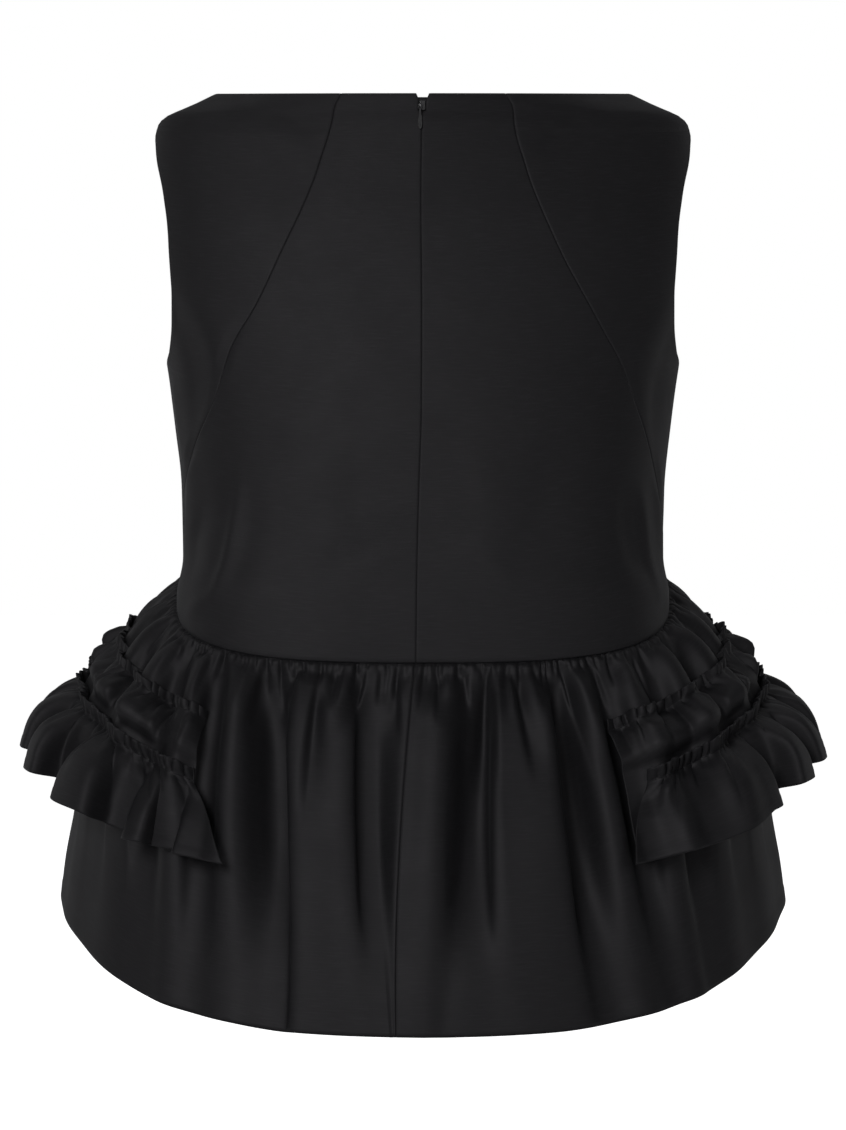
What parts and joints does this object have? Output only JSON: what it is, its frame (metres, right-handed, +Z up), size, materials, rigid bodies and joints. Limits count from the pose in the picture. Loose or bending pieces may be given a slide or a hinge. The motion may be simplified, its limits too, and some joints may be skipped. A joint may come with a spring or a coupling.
{
  "type": "sleeveless peplum top",
  "caption": "Hollow worn form of a sleeveless boat-neck top with a centre-back zip, curved back seams, a gathered peplum and tiered ruffles at the hips.",
  "frame": {"origin": "midway between the two shoulder seams, at the height where they meet the neck edge", "axes": "+Z up along the wearer, +Y towards the front of the garment, +X towards the right-hand side seam as seen from behind"},
  "size_m": [0.5718, 0.3821, 0.6602],
  "materials": {
    "shell": "soft satin weave",
    "zip_tape": "matte woven tape",
    "zip_metal": "satin enamel"
  },
  "bodies": {
    "garment": {"back_left": "shell", "back_right": "shell", "side_back_left": "shell", "side_back_right": "shell", "front": "shell", "peplum_back_left": "shell", "peplum_back_right": "shell", "peplum_front": "shell", "ruffle_left_upper": "shell", "ruffle_left_lower": "shell", "ruffle_right_upper": "shell", "ruffle_right_lower": "shell", "zip_tape": "zip_tape", "zip_slider": "zip_metal"},
    "pull": {"zip_pull": "zip_metal"}
  },
  "joints": [
    {"name": "pull_hinge", "type": "hinge", "parent": "garment", "child": "pull", "pos_m": [-0.002, -0.07221, -0.01768], "axis": [-1, 0, 0], "range_deg": [0, 150]}
  ]
}
